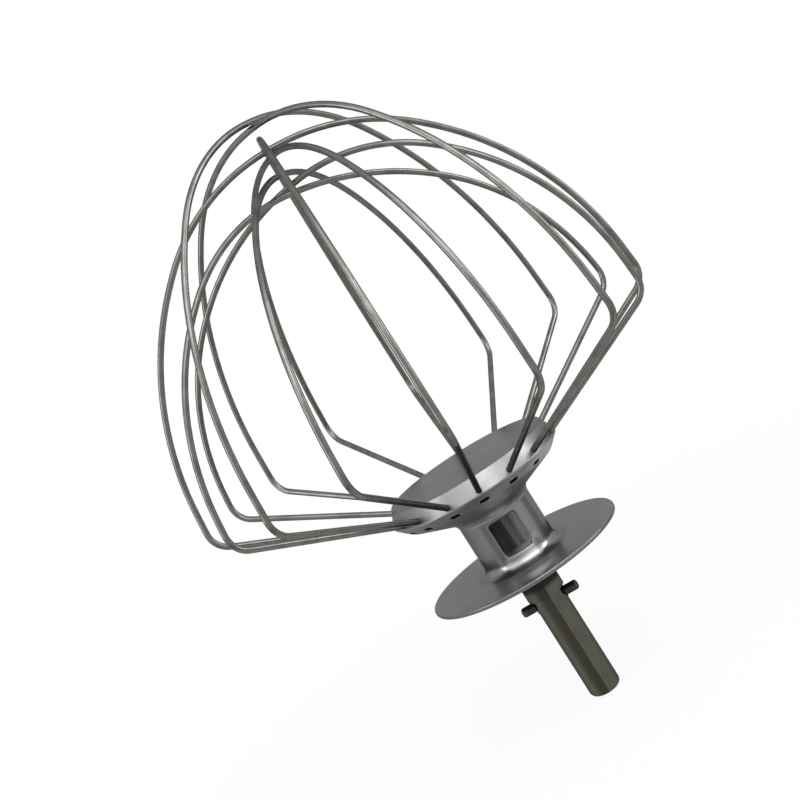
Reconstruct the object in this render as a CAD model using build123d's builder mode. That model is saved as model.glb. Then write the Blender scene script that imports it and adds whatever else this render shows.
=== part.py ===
from build123d import *
import os
from math import cos, radians, sin, tan

# Wire whisk for a stand mixer: a cast hub on a steel drive shaft carries crossed loops of wire.
# Millimetres. +Z runs up the axis towards the tips of the loops. The origin is on the axis, at the
# step where the ground journal of the drive shaft begins, just below the cross pin.

# Whole whisk, from the end of the drive shaft to the tip of the highest loop
whisk_length = 215.3

# Drive shaft
journal_diameter = 11.0
journal_length = 33.4
journal_end_round = 2.0
shank_step = 0.2  # how much larger the shank's radius is than the journal's
shank_engagement = 26.0  # how far the shank reaches into the hub, from the flange's lower face
press_clearance = 0.02

# Cross pin through the shank
pin_diameter = 3.3
pin_length = 20.7
pin_land = 0.5  # plain shank between the step and the pin hole
pin_end_round = 1.0
pin_clearance = 0.03
pin_turn = -11.0  # degrees from +X

# Hub casting: spigot, flange and waist
spigot_diameter = 13.2
spigot_gap = 0.7  # between the spigot's lower face and the cross pin
spigot_edge_round = 0.4
spigot_root_fillet = 0.8
flange_height = 17.6  # from the journal's step to the flange's lower face
flange_diameter = 67.2
flange_thickness = 1.5
flange_edge_round = 0.6
waist_diameter = 25.4
waist_foot_fillet = 3.0
waist_head_fillet = 3.5

# Hub casting: wire plate, with a bevelled rim that the wires enter squarely
hub_height = 36.9  # from the flange's lower face to the top of the wire plate
plate_diameter = 55.4
plate_edge_round = 0.5
bevel_height = 5.7
bevel_edge_round = 0.5
band_height = 3.6  # band that leans in below the bevel
band_slope = 44.5  # degrees above level
band_lower_round = 4.0
underside_slope = 24.0  # degrees above level

# Windows in the waist, one on each side, open to the shank
window_width = 9.6
window_height = 12.0
window_sill = 4.5  # from the flange's upper face to the window
window_corner = 1.5
window_edge_round = 0.5

# Wire loops
wire_diameter = 2.0
wire_clearance = 0.05
wire_seat_depth = 9.0  # along the wire, from the bevel inwards
seat_end_gap = 0.2  # left at the blind end of the wire holes and of the shank's bore
wire_entry_drop = 4.2  # from the top of the plate to the wire's centre at the bevel
hole_lag = -2.0  # degrees from a leg's shoulder to its hole in the hub
leg_slope = 25.8  # degrees above level
shoulder_reach = 80.4
shoulder_bend = 7.5
belly_reach = 75.3
belly_share = 0.53  # height of the belly corner between the shoulder and the crown
belly_follow = 0.4  # share of a leg's extra reach that its belly takes up
crown_reach = 26.7
bend_share = 0.96  # how much of the room for a bend the bend takes up
first_leg_angle = -90.0  # degrees from +X, so the first loop's front leg stands over a window
loop_span = 180.0  # degrees from a loop's front leg to its back leg

# Each loop as bent by hand, going round from the front: its drop below the highest crown, how much
# the front end of its crown is lifted, and for its front and back leg the degrees off the even place
# and the extra reach at the shoulder
loop_shapes = (
    (6.6, 0, (-1, 0.5), (-0.5, 0)),
    (12.8, 1, (-1.5, -4), (1.5, 4)),
    (2.3, 0, (-2.5, 2), (4.5, -2)),
    (23.1, 3, (4.5, -3), (0, 0.5)),
    (10.4, -0.5, (-2, -0.5), (3.5, 0.5)),
    (25.5, -3.3, (0.5, 2), (4.5, 0)),
    (0, 0, (-2.5, 0.5), (-0.5, -1)),
    (18.9, 0, (-2, -1.5), (0, 1.5)),
)

# Stake marks on the band, one below each wire hole
mark_length = 3.4
mark_width = 1.8
mark_depth = 0.8
mark_inset = 3.5  # from the bevel's lower edge, down the band

# Values that follow from the sizes above
journal_radius = journal_diameter / 2
shank_radius = journal_radius + shank_step
bore_radius = shank_radius + press_clearance
pin_height = pin_land + pin_diameter / 2
spigot_radius = spigot_diameter / 2
spigot_base = pin_height + pin_diameter / 2 + spigot_gap
flange_radius = flange_diameter / 2
flange_top = flange_height + flange_thickness
shank_top = flange_height + shank_engagement
plate_top = flange_height + hub_height
plate_radius = plate_diameter / 2
waist_radius = waist_diameter / 2
rim_radius = plate_radius + bevel_height * tan(radians(leg_slope))
bevel_base = plate_top - bevel_height
band_radius = rim_radius - band_height / tan(radians(band_slope))
band_base = bevel_base - band_height
waist_top = band_base - (band_radius - waist_radius) * tan(radians(underside_slope))
window_centre = flange_top + window_sill + window_height / 2
wire_radius = wire_diameter / 2
entry_radius = plate_radius + wire_entry_drop * tan(radians(leg_slope))
entry_height = plate_top - wire_entry_drop
highest_crown = whisk_length - journal_length - wire_radius
loop_count = len(loop_shapes)

upright = (Align.CENTER, Align.CENTER, Align.MIN)
hanging = (Align.CENTER, Align.CENTER, Align.MAX)


def at(angle, reach, height):
    return Vector(reach * cos(radians(angle)), reach * sin(radians(angle)), height)


def loop_legs(loop):
    front = first_leg_angle + loop * loop_span / loop_count
    (front_drift, front_extra), (back_drift, back_extra) = loop_shapes[loop][2:]
    front_leg = (front + front_drift, shoulder_reach + front_extra)
    back_leg = (front + loop_span + back_drift, shoulder_reach + back_extra)
    return front_leg, back_leg


def shoulder_point(leg):
    angle, reach = leg
    return at(angle, reach, entry_height + (reach - entry_radius) * tan(radians(leg_slope)))


def leg_plane(leg, depth):
    entry = at(leg[0] + hole_lag, entry_radius, entry_height)
    run = (shoulder_point(leg) - entry).normalized()
    return Plane(origin=entry - run * depth, z_dir=run)


def mark_plane(leg):
    angle = leg[0] + hole_lag
    reach = rim_radius - mark_inset * cos(radians(band_slope))
    height = bevel_base - mark_inset * sin(radians(band_slope))
    outward = at(angle, sin(radians(band_slope)), -cos(radians(band_slope)))
    return Plane(origin=at(angle, reach, height), x_dir=outward.cross(Vector(0, 0, 1)), z_dir=outward)


def leg_points(leg, crown_height, crown_lift):
    angle, reach = leg
    shoulder = shoulder_point(leg)
    belly_height = shoulder.Z + belly_share * (crown_height - shoulder.Z) + crown_lift / 2
    belly = at(angle, belly_reach + belly_follow * (reach - shoulder_reach), belly_height)
    crown = at(angle, crown_reach, crown_height + crown_lift)
    return [leg_plane(leg, wire_seat_depth).origin, shoulder, belly, crown]


def loop_points(loop):
    drop, lift = loop_shapes[loop][:2]
    front_leg, back_leg = loop_legs(loop)
    front_points = leg_points(front_leg, highest_crown - drop, lift)
    back_points = leg_points(back_leg, highest_crown - drop, -lift)
    return front_points + back_points[::-1]


def half_turn(before, corner, after):
    return radians((corner - before).get_angle(after - corner) / 2)


def half_bends(points):
    foot, shoulder, belly, crown, far_crown = points[:5]
    crown_tangent = bend_share * (far_crown - crown).length / 2
    shoulder_tangent = shoulder_bend * tan(half_turn(foot, shoulder, belly))
    room_above = (crown - belly).length - crown_tangent
    room_below = (belly - shoulder).length - shoulder_tangent
    belly_tangent = bend_share * min(room_above, room_below)
    belly_bend = belly_tangent / tan(half_turn(shoulder, belly, crown))
    crown_bend = crown_tangent / tan(half_turn(belly, crown, far_crown))
    return [shoulder_bend, belly_bend, crown_bend]


def loop_bends(points):
    return half_bends(points) + half_bends(points[::-1])[::-1]


all_legs = [leg for loop in range(loop_count) for leg in loop_legs(loop)]
pin_plane = Plane(origin=(0, 0, pin_height), z_dir=at(pin_turn, 1, 0))

# Corners of the hub's profile and the round on each
spigot_edge = (spigot_radius, spigot_base)
spigot_root = (spigot_radius, flange_height)
flange_lower_edge = (flange_radius, flange_height)
flange_upper_edge = (flange_radius, flange_top)
waist_foot = (waist_radius, flange_top)
waist_head = (waist_radius, waist_top)
band_lower_edge = (band_radius, band_base)
bevel_edge = (rim_radius, bevel_base)
plate_edge = (plate_radius, plate_top)
profile_rounds = (
    (spigot_edge, spigot_edge_round),
    (spigot_root, spigot_root_fillet),
    (flange_lower_edge, flange_edge_round),
    (flange_upper_edge, flange_edge_round),
    (waist_foot, waist_foot_fillet),
    (waist_head, waist_head_fillet),
    (band_lower_edge, band_lower_round),
    (bevel_edge, bevel_edge_round),
    (plate_edge, plate_edge_round),
)
profile_corners = [corner for corner, radius in profile_rounds]

# Hub: one casting turned about the axis, with windows, bore, wire holes and stake marks
with BuildPart() as hub:
    with BuildSketch(Plane.XZ):
        with BuildLine():
            Polyline((0, spigot_base), *profile_corners, (0, plate_top), close=True)
        make_face()
        for corner, radius in profile_rounds:
            fillet(vertices().sort_by_distance(corner)[0], radius)
    revolve(axis=Axis.Z)

    with BuildSketch(Plane.XZ):
        with Locations((0, window_centre)):
            RectangleRounded(window_width, window_height, window_corner)
    extrude(amount=waist_diameter, both=True, mode=Mode.SUBTRACT)
    outer_edges = [edge for edge in edges(Select.LAST) if abs(edge.center().Y) > window_width / 2]
    fillet(outer_edges, window_edge_round)

    with Locations((0, 0, spigot_base)):
        Cylinder(bore_radius, shank_top + seat_end_gap - spigot_base, align=upright, mode=Mode.SUBTRACT)
    with Locations(*[leg_plane(leg, wire_seat_depth + seat_end_gap) for leg in all_legs]):
        Cylinder(wire_radius + wire_clearance, 2 * wire_seat_depth, align=upright, mode=Mode.SUBTRACT)
    with BuildSketch(*[mark_plane(leg) for leg in all_legs]):
        SlotOverall(mark_length, mark_width)
    extrude(amount=-mark_depth, mode=Mode.SUBTRACT)

# Drive shaft: a ground journal below the step, and above it the shank with the pin's hole
with BuildPart() as drive_shaft:
    Cylinder(journal_radius, journal_length, align=hanging)
    fillet(edges().group_by(Axis.Z)[0], journal_end_round)
    Cylinder(shank_radius, shank_top, align=upright)
    with Locations(pin_plane):
        Cylinder(pin_diameter / 2 + pin_clearance, pin_length, mode=Mode.SUBTRACT)

# Cross pin: drives the whisk and locks it in the mixer's socket
with BuildPart() as cross_pin:
    with Locations(pin_plane):
        Cylinder(pin_diameter / 2, pin_length)
    fillet(edges().filter_by(GeomType.CIRCLE), pin_end_round)

# Wire loops: each is one length of wire, bent to shape, with both ends seated in the hub
wire_loops = []
for loop in range(loop_count):
    points = loop_points(loop)
    with BuildPart() as wire_loop:
        with BuildLine():
            FilletPolyline(*points, radius=loop_bends(points))
        with BuildSketch(leg_plane(loop_legs(loop)[0], wire_seat_depth)):
            Circle(wire_radius)
        sweep()
    wire_loop.part.label = f"wire_loop_{loop + 1}"
    wire_loops.append(wire_loop.part)

hub.part.label = "hub"
drive_shaft.part.label = "drive_shaft"
cross_pin.part.label = "cross_pin"

os.makedirs("parts", exist_ok=True)
for piece in [hub.part, drive_shaft.part, cross_pin.part, *wire_loops]:
    export_step(piece, f"parts/{piece.label}.step")
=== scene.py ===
import bpy
from math import cos, pi, radians, sin
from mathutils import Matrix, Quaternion, Vector


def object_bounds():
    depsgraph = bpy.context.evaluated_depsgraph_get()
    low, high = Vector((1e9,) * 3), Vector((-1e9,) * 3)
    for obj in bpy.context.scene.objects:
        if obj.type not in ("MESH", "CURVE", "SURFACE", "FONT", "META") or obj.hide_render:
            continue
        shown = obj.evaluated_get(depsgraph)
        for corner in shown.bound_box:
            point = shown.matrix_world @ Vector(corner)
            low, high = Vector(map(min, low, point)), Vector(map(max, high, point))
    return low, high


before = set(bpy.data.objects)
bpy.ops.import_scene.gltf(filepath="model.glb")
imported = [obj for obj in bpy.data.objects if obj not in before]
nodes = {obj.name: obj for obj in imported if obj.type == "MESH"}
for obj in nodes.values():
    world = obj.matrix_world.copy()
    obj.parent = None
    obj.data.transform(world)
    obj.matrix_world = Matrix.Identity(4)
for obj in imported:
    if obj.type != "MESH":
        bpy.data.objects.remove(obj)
cadLow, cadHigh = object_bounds()
scene = bpy.context.scene
print("whisk: frame loaded,", len(nodes), "nodes")


class Feed:  # a node's output, for use in sums
    def __init__(self, bench, socket):
        self.bench = bench
        self.socket = socket

    def other(self, name):  # another output of the same node
        return Feed(self.bench, self.socket.node.outputs[name])

    def __add__(self, other):
        return self.bench.maths("ADD", self, other)

    def __radd__(self, other):
        return self.bench.maths("ADD", other, self)

    def __sub__(self, other):
        return self.bench.maths("SUBTRACT", self, other)

    def __rsub__(self, other):
        return self.bench.maths("SUBTRACT", other, self)

    def __mul__(self, other):
        return self.bench.maths("MULTIPLY", self, other)

    def __rmul__(self, other):
        return self.bench.maths("MULTIPLY", other, self)

    def __truediv__(self, other):
        return self.bench.maths("DIVIDE", self, other)

    def __rtruediv__(self, other):
        return self.bench.maths("DIVIDE", other, self)


class Bench:  # makes the nodes of one material or of the world
    def __init__(self, owner):
        owner.use_nodes = True
        self.tree = owner.node_tree
        self.tree.nodes.clear()

    def node(self, kind, settings=None, sockets=None, out=0):
        made = self.tree.nodes.new(kind)
        for name, value in (settings or {}).items():
            setattr(made, name, value)
        for key, value in (sockets or {}).items():
            if isinstance(value, Feed):
                self.tree.links.new(value.socket, made.inputs[key])
            else:
                made.inputs[key].default_value = value
        return Feed(self, made.outputs[out]) if made.outputs else None

    def maths(self, operation, first, second=0.0):
        return self.node("ShaderNodeMath", {"operation": operation}, {0: first, 1: second})

    def size(self, value):  # without its sign
        return self.maths("ABSOLUTE", value)

    def mixColour(self, factor, first, second, blend="MIX"):
        settings = {"data_type": "RGBA", "blend_type": blend}
        sockets = {0: factor, 6: first, 7: second}  # by number: its other kinds share the names
        return self.node("ShaderNodeMix", settings, sockets, 2)

    def step(self, value, low, high):  # 0 below low, 1 above high, eased between
        sockets = {"Value": value, "From Min": low, "From Max": high}
        return self.node("ShaderNodeMapRange", {"interpolation_type": "SMOOTHSTEP"}, sockets)

    def band(self, value, low, high, soft):  # 1 between low and high
        return self.step(value, low - soft, low + soft) * (1 - self.step(value, high - soft, high + soft))

    def noise(self, vector, scale=1.0, detail=3.0, rough=0.5):
        sockets = {"Vector": vector, "Scale": scale, "Detail": detail, "Roughness": rough}
        return self.node("ShaderNodeTexNoise", {}, sockets)

    def sway(self, noise, most):  # a noise about zero, most wide
        return (noise - 0.5) * most

    def place(self):  # the surface's point, and its x, y and z in metres
        point = self.node("ShaderNodeTexCoord", out="Object")
        split = self.node("ShaderNodeSeparateXYZ", {}, {"Vector": point})
        return point, split.other("X"), split.other("Y"), split.other("Z")

    def vector(self, x, y, z):
        return self.node("ShaderNodeCombineXYZ", {}, {"X": x, "Y": y, "Z": z})

    def reach(self, x, y):  # distance from the axis
        return self.maths("SQRT", x * x + y * y)

    def turn(self, x, y):  # degrees round from the front
        return self.maths("ARCTAN2", x, y * -1) * (180 / pi)

    def bump(self, height, distance):
        return self.node("ShaderNodeBump", {}, {"Height": height, "Distance": distance})

    def show(self, shader):
        self.node("ShaderNodeOutputMaterial", {}, {"Surface": shader})

    def metal(self, colour, rough, normal, edgeTint, bare=1.0):
        sockets = {"Base Color": colour, "Roughness": rough, "Normal": normal, "Metallic": bare,
                   "Specular Tint": edgeTint}
        self.show(self.node("ShaderNodeBsdfPrincipled", {}, sockets))

    def glow(self, colour):
        return self.node("ShaderNodeEmission", {}, {"Color": colour, "Strength": 1.0})


def newFinish(name):
    material = bpy.data.materials.new(name)
    return material, Bench(material)


def grey(value, warm=0.0):
    return (value * (1 + warm), value, value * (1 - warm), 1.0)


# Pairs in the dictionaries are the two ends of a soft change: 0 at the first, 1 at the second.
# Lengths are in metres, in the part's own frame, and angles in degrees.

# drive shaft
shaftLook = {
    "steel": (0.101, 0.099, 0.080, 1.0), "dull": (0.083, 0.081, 0.065, 1.0), "edgeTint": grey(0.4),
    "dullFade": (0.42, 0.62), "dullCloud": 0.4, "dullAlong": 0.6,  # shares of the two noises
    # painted dark reflection: a dark stripe down the shaft and spigot, by degrees round from the front
    "darkReflection": (0.0435, 0.0413, 0.0310, 1.0), "darkReflectionFrom": (-47.0, -18.0), "darkReflectionTo": (-1.0, 4.0),
    "upperTint": (0.95, 1.0, 1.06, 1.0), "upperFade": (-0.0035, 0.0010),  # greyer towards the hub
    "insideFade": (0.0176, 0.0190),  # height where the shank goes into the hub
    # painted light and shade on the shank seen through the windows: a shaded left half, a lit right half,
    # lighter towards the sides
    "bare": (0.172, 0.163, 0.175, 1.0), "shankLightSide": grey(0.88), "shankLightFade": (0.0020, 0.0048),
    "shankShade": grey(0.060), "shankShadeSide": grey(0.30), "shankShadeFade": (0.0015, 0.0046),
    "shadeToLightFade": (-0.000002, 0.000002),  # from the painted shade to the painted light, by x times -y
    "rough": 0.16, "insideRough": 0.5, "lineRough": 0.06, "cloudRough": 0.08,
    "lineScale": 5200.0, "lineDrift": 0.03, "lineDepth": 0.000004,
    "cloudScale": 160.0, "aroundScale": 420.0, "alongScale": 9.0,
}


def shaftDarkReflection(b, turn):  # painted dark reflection: a dark stripe to the left of the front
    return b.step(turn, *shaftLook["darkReflectionFrom"]) * (1 - b.step(turn, *shaftLook["darkReflectionTo"]))


def shaftFinish():
    material, b = newFinish("groundShaftSteel")
    point, x, y, z = b.place()
    turn = b.turn(x, y)
    lines = b.noise(b.vector(turn * shaftLook["lineDrift"], 0.0, z * shaftLook["lineScale"]), detail=2.0)
    cloud = b.noise(point, shaftLook["cloudScale"], detail=4.0)
    around = shaftLook["aroundScale"]
    along = b.noise(b.vector(x * around, y * around, z * shaftLook["alongScale"]), detail=2.0)
    dull = b.step(cloud * shaftLook["dullCloud"] + along * shaftLook["dullAlong"], *shaftLook["dullFade"])
    colour = b.mixColour(dull, shaftLook["steel"], shaftLook["dull"])
    # painted dark reflection to the left of the front
    colour = b.mixColour(shaftDarkReflection(b, turn), colour, shaftLook["darkReflection"])
    upper = b.step(z, *shaftLook["upperFade"])
    colour = b.mixColour(upper, colour, shaftLook["upperTint"], "MULTIPLY")
    side = b.size(x)
    # painted shade on the left half and painted light on the right half of the shank in each window, lighter
    # towards its sides
    bare = b.mixColour(b.step(side, *shaftLook["shankLightFade"]), shaftLook["bare"], shaftLook["shankLightSide"])
    shankShade = b.mixColour(b.step(side, *shaftLook["shankShadeFade"]), shaftLook["shankShade"], shaftLook["shankShadeSide"])
    shank = b.mixColour(b.step(x * y * -1, *shaftLook["shadeToLightFade"]), shankShade, bare)
    inside = b.step(z, *shaftLook["insideFade"])  # seen through the hub's windows
    colour = b.mixColour(inside, colour, shank)
    rough = shaftLook["rough"] + inside * shaftLook["insideRough"]
    rough = rough + b.sway(lines, shaftLook["lineRough"]) + b.sway(cloud, shaftLook["cloudRough"])
    normal = b.bump(lines, shaftLook["lineDepth"])
    b.metal(colour, rough, normal, shaftLook["edgeTint"])
    return material


# hub
hubLook = {
    "tones": {
        "flange": grey(0.203), "edge": grey(0.15), "flangeReflection": grey(0.37), "waist": grey(0.205),
        "plate": grey(0.195), "bevel": grey(0.238), "under": grey(0.50), "underShadedSide": grey(0.27),
        "lip": grey(0.33), "lipShadedLeft": grey(0.23), "lipLitRight": grey(0.45), "mark": grey(0.03),
        "sill": grey(0.62), "sillLeft": grey(0.38), "jamb": grey(0.80), "jambShadedLeft": grey(0.25),
        "cheek": grey(0.30), "stain": grey(0.12, 0.02), "flangeShadow": grey(0.020, 0.1),
        "spigot": (0.0975, 0.0974, 0.0890, 1.0), "edgeTint": grey(0.45),
    },
    "rough": {
        "flange": 0.33, "plate": 0.27, "bevel": 0.36, "under": 0.62, "waist": 0.22, "sill": 0.42,
        "jamb": 0.62, "windowEdge": 0.62,
    },
    "zones": {  # lowest and highest z
        "flange": (0.0172, 0.0196), "waist": (0.0194, 0.0376), "under": (0.0378, 0.0488),
        "lip": (0.0453, 0.0488), "mark": (0.0456, 0.0486), "bevel": (0.0489, 0.0542),
        "sill": (0.0196, 0.0234), "cheek": (0.0200, 0.0262), "jamb": (0.0232, 0.0360),
    },
    "zoneSoft": 0.0003,
    "above": {  # by z
        "flangeShadow": (0.0070, 0.0090), "spigot": (0.0170, 0.0177), "flangeReflection": (0.0182, 0.0188),
        "plate": (0.0540, 0.0544),
    },
    "beyond": {  # by distance from the axis
        "flangeShadow": (0.0072, 0.0090), "windowEdge": (0.0100, 0.0108), "jamb": (0.0108, 0.0122),
        "flange": (0.0155, 0.0175), "neck": (0.0156, 0.0166), "waist": (0.0160, 0.0185),
        "edge": (0.03325, 0.03350),
    },
    "rightOf": {"window": (-0.003, 0.003), "lipShadedLeft": (-0.008, -0.002), "lipLitRight": (0.012, 0.020)},
    "window": {"halfWidth": 0.0048, "halfHeight": 0.0060, "height": 0.0296,
               "edgeOut": 0.0002, "edgeFade": (0.0003, 0.0006)},
    "sillFade": (0.0050, 0.0068), "cheekFrom": 0.0048, "cheekTo": 0.0072, "cheekSoft": 0.0006,
    "underFrom": 0.0015, "underFade": (0.0015, 0.0065), "underWander": 0.008,
    "rimReach": 0.030455, "rimHeight": 0.0488, "lipSlope": 44.5, "markDepth": (0.00012, 0.00030),
    # painted reflection on the flange: its place, size and soft edge
    "flangeReflection": {"across": 0.0006, "reach": 0.0273, "halfWidth": 0.0056, "halfDepth": 0.0048,
              "fade": (0.30, 1.20), "wander": 1.3, "scale": 240.0, "backFade": (-0.002, 0.002)},
    "flangeDull": 0.17, "flangeReflectionDull": 0.68,  # how far from bare metal
    "stainFade": (0.48, 0.78), "stainTurned": 0.25, "stainCast": 0.55,
    "lineScale": 2600.0, "cloudScale": 85.0, "grainScale": 1900.0,
    "lineRough": 0.08, "cloudRough": 0.10,
    "lineBump": 0.10, "grainBump": 0.03, "castBump": 2.0, "bumpDepth": 0.000012,
}


def windowEdge(b, aside, z):  # the rounded edge of each window
    window = hubLook["window"]
    out = b.maths("MAXIMUM", aside - window["halfWidth"], b.size(z - window["height"]) - window["halfHeight"])
    return 1 - b.step(b.size(out - window["edgeOut"]), *window["edgeFade"])


def stakeMark(b, r, z):  # what lies deeper than the lip's own face
    slope = radians(hubLook["lipSlope"])
    depth = (hubLook["rimReach"] - r) * sin(slope) + (z - hubLook["rimHeight"]) * cos(slope)
    return b.step(depth, *hubLook["markDepth"])


def flangeReflectionPatch(b, point, across, r, y):  # painted reflection: a pale patch in front of the front window
    flangeReflection = hubLook["flangeReflection"]
    wide = (across - flangeReflection["across"]) / flangeReflection["halfWidth"]
    deep = (r - flangeReflection["reach"]) / flangeReflection["halfDepth"]
    wander = b.sway(b.noise(point, flangeReflection["scale"], detail=5.0, rough=0.6), flangeReflection["wander"])
    return (1 - b.step(b.reach(wide, deep) + wander, *flangeReflection["fade"])) * (1 - b.step(y, *flangeReflection["backFade"]))


def hubFinish():
    material, b = newFinish("castAluminium")
    point, x, y, z = b.place()
    r = b.reach(x, y)
    aside = b.size(x)
    across = x * b.maths("SIGN", y * -1)  # to the right, seen from outside each window
    tones = hubLook["tones"]
    zone = {name: b.band(z, *ends, hubLook["zoneSoft"]) for name, ends in hubLook["zones"].items()}
    above = {name: b.step(z, *ends) for name, ends in hubLook["above"].items()}
    beyond = {name: b.step(r, *ends) for name, ends in hubLook["beyond"].items()}
    rightOf = {name: b.step(across, *ends) for name, ends in hubLook["rightOf"].items()}
    lines = b.noise(b.vector(r * hubLook["lineScale"], 0.0, z * hubLook["lineScale"]), detail=2.0)
    cloud = b.noise(point, hubLook["cloudScale"], detail=4.0)
    grain = b.noise(point, hubLook["grainScale"], rough=0.6)

    spigot = 1 - above["spigot"]
    # painted shadow: a dark ring round the spigot just under the flange
    flangeShadow = spigot * above["flangeShadow"] * (1 - beyond["flangeShadow"])
    darkReflection = spigot * shaftDarkReflection(b, b.turn(x, y))  # the shaft's painted dark reflection, going on up the spigot
    flange = zone["flange"] * beyond["flange"]
    # painted reflection: a pale patch on the flange in front of the front window
    flangeReflection = flange * above["flangeReflection"] * flangeReflectionPatch(b, point, across, r, y)
    waist = zone["waist"] * (1 - beyond["waist"])
    neck = 1 - beyond["neck"]
    sill = zone["sill"] * neck * (1 - b.step(aside, *hubLook["sillFade"]))  # painted highlight below each window, dimmer on its left
    beside = b.band(aside, hubLook["cheekFrom"], hubLook["cheekTo"], hubLook["cheekSoft"])
    # painted highlight: a pale strip to the right of each window
    cheek = zone["cheek"] * neck * rightOf["window"] * beside
    jamb = zone["jamb"] * (1 - beyond["jamb"])  # sides of the windows, with painted light on the right side and painted shade on the left
    # painted shade: the stake marks' recesses coloured dark
    mark = zone["mark"] * stakeMark(b, r, z)
    under = zone["under"]  # the cone and the lip are left as cast; the cone's pale tone is partly painted light
    turned = 1 - under
    stain = b.step(cloud, *hubLook["stainFade"]) * (hubLook["stainTurned"] + under * hubLook["stainCast"])

    # painted shade: the cone darker away from the middle in front of each window
    offCentre = b.size(across - hubLook["underFrom"]) + b.sway(cloud, hubLook["underWander"])
    underTone = b.mixColour(b.step(offCentre, *hubLook["underFade"]), tones["under"], tones["underShadedSide"])
    sillTone = b.mixColour(rightOf["window"], tones["sillLeft"], tones["sill"])
    jambTone = b.mixColour(rightOf["window"], tones["jambShadedLeft"], tones["jamb"])
    # painted shade on the lip's left and painted light on its right, as seen from outside each window
    lipTone = b.mixColour(rightOf["lipShadedLeft"], tones["lipShadedLeft"], tones["lip"])
    lipTone = b.mixColour(rightOf["lipLitRight"], lipTone, tones["lipLitRight"])
    # the spigot's share of the painted dark reflection
    darkReflectionTone = tuple(tone * tint for tone, tint in zip(shaftLook["darkReflection"], shaftLook["upperTint"]))
    layers = [
        (above["plate"], tones["plate"]), (spigot, tones["spigot"]), (beyond["edge"], tones["edge"]),
        (darkReflection, darkReflectionTone), (zone["bevel"], tones["bevel"]), (under, underTone),
        (waist, tones["waist"]), (sill, sillTone), (jamb, jambTone), (cheek, tones["cheek"]),
        (zone["lip"], lipTone), (stain, tones["stain"]), (flangeShadow, tones["flangeShadow"]), (mark, tones["mark"]),
        (flangeReflection, tones["flangeReflection"]),
    ]
    colour = tones["flange"]
    for mask, tone in layers:
        colour = b.mixColour(mask, colour, tone)

    rough = hubLook["rough"]["flange"]
    roughLayers = {
        "plate": above["plate"], "bevel": zone["bevel"], "under": under, "waist": waist, "sill": sill,
        "jamb": jamb, "windowEdge": windowEdge(b, aside, z) * beyond["windowEdge"] * waist,
    }
    for name, mask in roughLayers.items():
        rough = rough + mask * (hubLook["rough"][name] - rough)
    rough = rough + b.sway(lines, hubLook["lineRough"]) * turned + b.sway(cloud, hubLook["cloudRough"])
    bare = 1 - flange * hubLook["flangeDull"] - flangeReflection * (hubLook["flangeReflectionDull"] - hubLook["flangeDull"])
    height = lines * turned * hubLook["lineBump"]
    height = height + grain * (hubLook["grainBump"] + under * hubLook["castBump"])
    b.metal(colour, rough, b.bump(height, hubLook["bumpDepth"]), tones["edgeTint"], bare)
    return material


# cross pin
pinLook = {
    "oxide": grey(0.038, 0.04), "worn": grey(0.08, 0.03), "edgeTint": grey(0.4),
    "wearFade": (0.0078, 0.0106), "wearWander": 0.004, "wearMost": 0.7,
    "rough": 0.38, "cloudRough": 0.25, "cloudScale": 420.0, "grainScale": 3000.0, "grainDepth": 0.00001,
}


def pinFinish():
    material, b = newFinish("blackPinSteel")
    point, x, y = b.place()[:3]
    cloud = b.noise(point, pinLook["cloudScale"], detail=4.0, rough=0.6)
    wear = b.step(b.reach(x, y) + b.sway(cloud, pinLook["wearWander"]), *pinLook["wearFade"])
    colour = b.mixColour(wear * pinLook["wearMost"], pinLook["oxide"], pinLook["worn"])
    rough = pinLook["rough"] + b.sway(cloud, pinLook["cloudRough"])
    normal = b.bump(b.noise(point, pinLook["grainScale"]), pinLook["grainDepth"])
    b.metal(colour, rough, normal, pinLook["edgeTint"])
    return material


# wire loops
wireLook = {
    "steel": (0.160, 0.160, 0.150, 1.0), "dark": (0.118, 0.118, 0.109, 1.0), "edgeTint": grey(0.4),
    "darkFade": (0.38, 0.7), "rough": 0.25, "drawRough": 0.08, "cloudRough": 0.1,
    "firstAngle": -90.0, "span": 180.0,  # from +X to the first loop, and over all the loops
    "drawScale": 2400.0, "drawStretch": 40.0, "drawDepth": 0.000002, "cloudScale": 210.0,
}
wireNames = sorted(name for name in nodes if name.startswith("wire_loop_"))


def wireFinish(loop):
    material, b = newFinish("drawnWireSteel" + str(loop + 1))
    angle = radians(wireLook["firstAngle"] + loop * wireLook["span"] / len(wireNames))
    point, x, y, z = b.place()
    across = y * cos(angle) - x * sin(angle)  # distance out of the loop's own plane
    along = x * cos(angle) + y * sin(angle)
    stretch = wireLook["drawStretch"]
    drawn = b.noise(b.vector(across * wireLook["drawScale"], along * stretch, z * stretch), detail=2.0)
    cloud = b.noise(point, wireLook["cloudScale"], detail=4.0)
    colour = b.mixColour(b.step(cloud, *wireLook["darkFade"]), wireLook["steel"], wireLook["dark"])
    rough = wireLook["rough"] + b.sway(drawn, wireLook["drawRough"])
    rough = rough + b.sway(cloud, wireLook["cloudRough"])
    b.metal(colour, rough, b.bump(drawn, wireLook["drawDepth"]), wireLook["edgeTint"])
    return material


def dress(node, material):
    mesh = nodes[node].data
    mesh.materials.clear()
    mesh.materials.append(material)


dress("hub", hubFinish())
dress("drive_shaft", shaftFinish())
dress("cross_pin", pinFinish())
for loop, wireName in enumerate(wireNames):
    dress(wireName, wireFinish(loop))
print("whisk: finishes on")

# floor and world
stageLook = {
    "floorGap": 0.0004, "floorSize": 6.0, "paper": grey(0.86), "white": grey(1.0),
    "fade": (0.10, 0.34), "whiteNear": 0.90, "ambient": 0.45,
}


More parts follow.
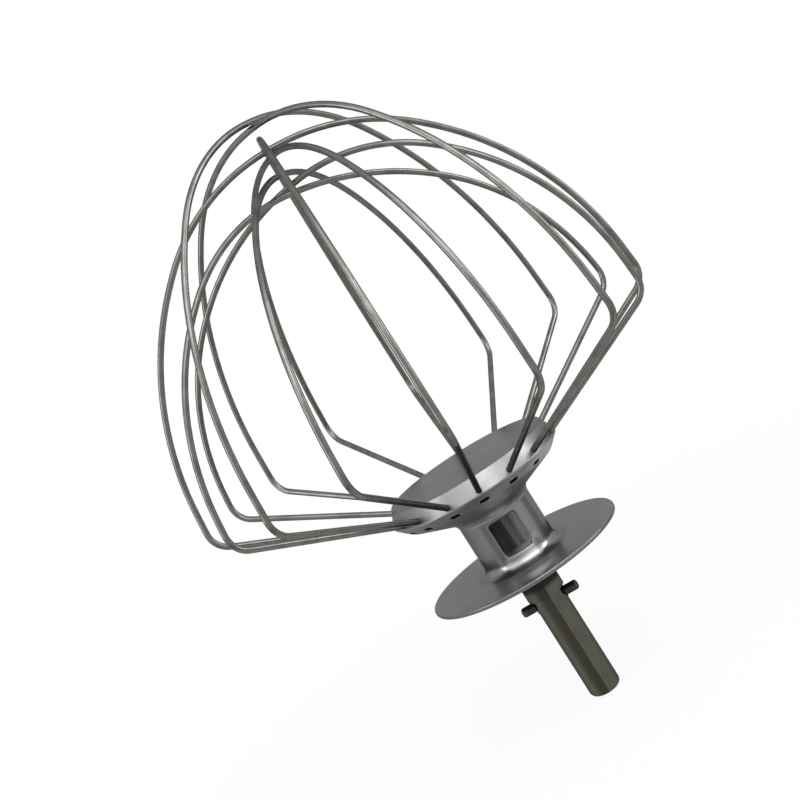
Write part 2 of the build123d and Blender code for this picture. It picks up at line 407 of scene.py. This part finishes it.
def seenRay(b):  # rays from the camera, and those that metal reflects
    direct = b.node("ShaderNodeLightPath", out="Is Camera Ray")
    onward = b.maths("MAXIMUM", direct.other("Is Glossy Ray"), direct.other("Is Transmission Ray"))
    return b.maths("MAXIMUM", direct, onward)


def floorFinish():
    material, b = newFinish("palePaper")
    x, y = b.place()[1:3]
    fade = b.step(b.reach(x, y), *stageLook["fade"])
    white = (stageLook["whiteNear"] + fade * (1 - stageLook["whiteNear"])) * seenRay(b)
    paper = b.node("ShaderNodeBsdfDiffuse", {}, {"Color": stageLook["paper"]})
    b.show(b.node("ShaderNodeMixShader", {}, {0: white, 1: paper, 2: b.glow(stageLook["white"])}))
    return material


half = stageLook["floorSize"] / 2
corners = [(-half, -half, 0), (half, -half, 0), (half, half, 0), (-half, half, 0)]
floorMesh = bpy.data.meshes.new("floor")
floorMesh.from_pydata(corners, [], [(0, 1, 2, 3)])
floorMesh.materials.append(floorFinish())
floor = bpy.data.objects.new("floor", floorMesh)
floor.location.z = cadLow.z - stageLook["floorGap"]
scene.collection.objects.link(floor)

world = bpy.data.worlds.new("paleRoom")
scene.world = world
worldBench = Bench(world)
level = stageLook["ambient"] + seenRay(worldBench) * (1 - stageLook["ambient"])
sky = worldBench.node("ShaderNodeBackground", {}, {"Color": stageLook["white"], "Strength": level})
worldBench.node("ShaderNodeOutputWorld", {}, {"Surface": sky})

# lamps
lamps = {
    "key": {"place": (0.10, -0.72, 1.00), "aim": (0, 0, 0.05), "size": (1.8, 0.9), "watts": 9.5},
    "spot": {"place": (0.16, -0.70, 0.74), "aim": (0, 0, 0.05), "size": (0.25, 0.35), "watts": 1.2},
    "left": {"place": (-0.9, -0.35, 0.35), "aim": (0, 0, 0.06), "size": (0.25, 0.7), "watts": 3.0},
    "right": {"place": (0.9, -0.2, 0.45), "aim": (0, 0, 0.06), "size": (0.25, 0.6), "watts": 3.0},
}


def looking(place, aim):  # the turn that points -Z from place to aim
    return (Vector(aim) - Vector(place)).to_track_quat("-Z", "Y")


def addLamp(name, lamp):
    light = bpy.data.lights.new(name, "AREA")
    light.shape = "RECTANGLE"
    light.size, light.size_y = lamp["size"]
    light.energy = lamp["watts"]
    holder = bpy.data.objects.new(name, light)
    holder.location = lamp["place"]
    holder.rotation_mode = "QUATERNION"
    holder.rotation_quaternion = looking(lamp["place"], lamp["aim"])
    scene.collection.objects.link(holder)


for name, lamp in lamps.items():
    addLamp(name, lamp)

# curved cards that only reflections show, by degrees round from the front and height above the floor
cards = {
    "left": {"from": -165.0, "to": -66.0, "reach": 0.20, "low": 0.002, "high": 0.060, "tone": grey(0.75)},
    "front": {"from": -66.0, "to": 10.0, "reach": 0.20, "low": 0.002, "high": 0.060, "tone": grey(0.40)},
    "right": {"from": 84.0, "to": 114.0, "reach": 0.20, "low": 0.002, "high": 0.060, "tone": grey(0.45)},
}
cardSteps = 24


def addCard(name, card):
    material, b = newFinish(name)
    b.show(b.glow(card["tone"]))
    sweep = card["to"] - card["from"]
    turns = [radians(card["from"] + sweep * i / cardSteps) for i in range(cardSteps + 1)]
    points = [(card["reach"] * sin(turn), -card["reach"] * cos(turn), floor.location.z + card[side])
              for turn in turns for side in ("low", "high")]
    mesh = bpy.data.meshes.new(name)
    mesh.from_pydata(points, [], [(2 * i, 2 * i + 2, 2 * i + 3, 2 * i + 1) for i in range(cardSteps)])
    mesh.materials.append(material)
    sheet = bpy.data.objects.new(name, mesh)
    scene.collection.objects.link(sheet)
    sheet.visible_camera = False
    sheet.visible_diffuse = False
    sheet.visible_shadow = False


for name, card in cards.items():
    addCard(name + "Card", card)
print("whisk: stage, lamps and cards set")

# camera
view = {
    "place": (-0.011839, -0.427448, 0.124726), "aim": (-0.006508, 0.0, 0.082723), "roll": -32.42,
    "lens": 60.913, "sensor": 36.0, "clipStart": 0.01,
}
lensData = bpy.data.cameras.new("camera")
lensData.lens = view["lens"]
lensData.sensor_width = view["sensor"]
lensData.clip_start = view["clipStart"]
camera = bpy.data.objects.new("camera", lensData)
camera.location = view["place"]
camera.rotation_mode = "QUATERNION"
roll = Quaternion((0, 0, 1), radians(view["roll"]))
camera.rotation_quaternion = looking(view["place"], view["aim"]) @ roll
scene.collection.objects.link(camera)
scene.camera = camera
scene.view_settings.view_transform = "Standard"
print("whisk: camera set")
